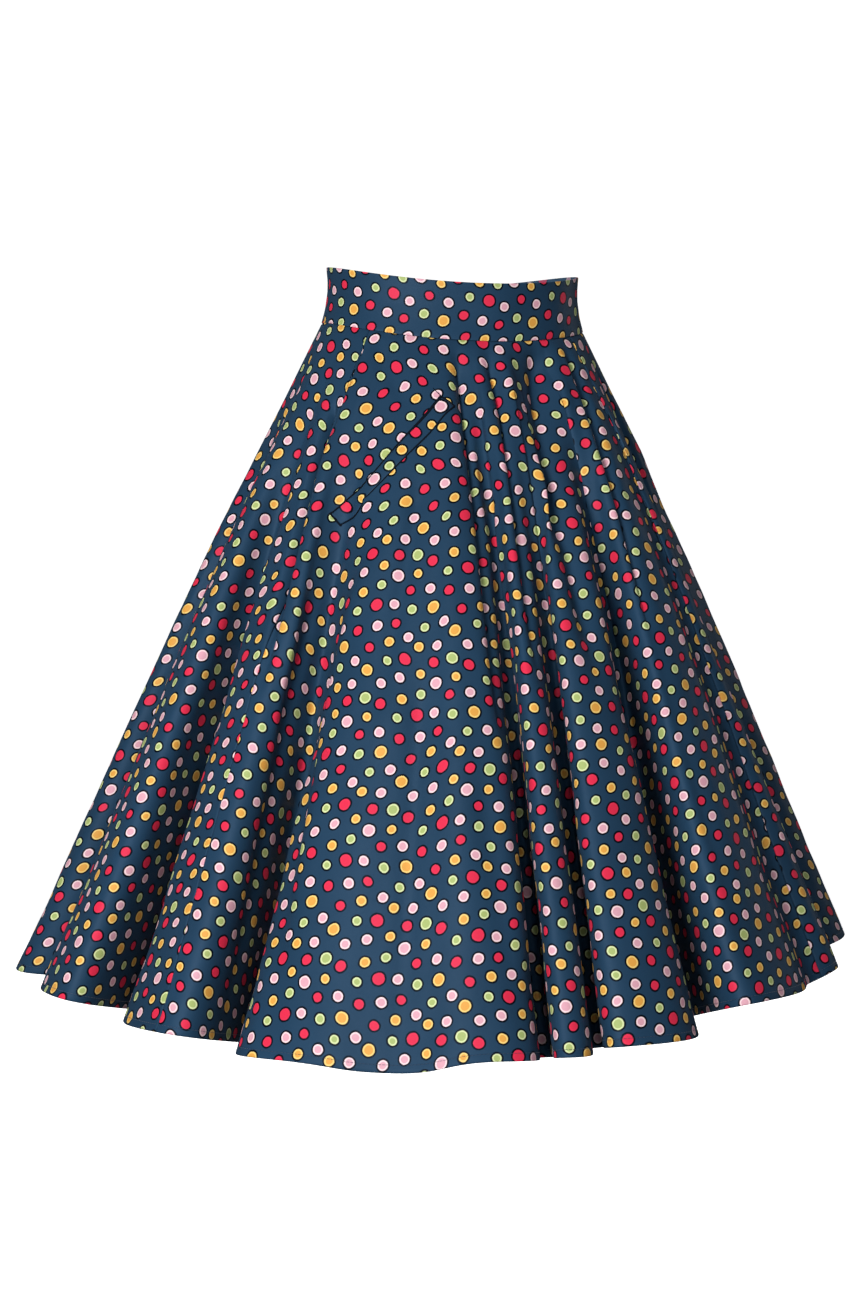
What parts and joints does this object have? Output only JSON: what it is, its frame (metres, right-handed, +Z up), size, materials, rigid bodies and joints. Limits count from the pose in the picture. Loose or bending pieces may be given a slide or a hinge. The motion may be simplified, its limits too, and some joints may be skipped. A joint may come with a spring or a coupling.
{
  "type": "circle skirt",
  "caption": "Full circle skirt in polka-dot cotton sateen, with a shaped waistband, a slanted welt pocket and a concealed zip at the back.",
  "frame": {"origin": "centre of the waistband's top edge, where the skirt is held at the waist", "axes": "+Z up out of the waist; -Y is the front, and +X the wearer's left"},
  "size_m": [0.8147, 0.72, 0.7135],
  "materials": {
    "printed_sateen": "soft sheen, dark teal ground printed with small dots",
    "pocketing": "matt plain navy cotton",
    "zip_tape": "matt woven navy tape",
    "painted_zip": "navy enamel on metal"
  },
  "bodies": {
    "skirt": {"front_panel": "printed_sateen", "back_panel_left": "printed_sateen", "back_panel_right": "printed_sateen", "waistband_front": "printed_sateen", "waistband_back_left": "printed_sateen", "waistband_back_right": "printed_sateen", "pocket_welt": "printed_sateen", "pocket_bag": "pocketing", "zip_tape_left": "zip_tape", "zip_tape_right": "zip_tape", "zip_slider": "painted_zip"},
    "pull_tab": {"pull_tab": "painted_zip"}
  },
  "joints": [
    {"name": "pull_tab_swing", "type": "hinge", "parent": "skirt", "child": "pull_tab", "pos_m": [0, 0.0933, -0.0119], "axis": [1, 0, 0], "range_deg": [0, 150]}
  ]
}
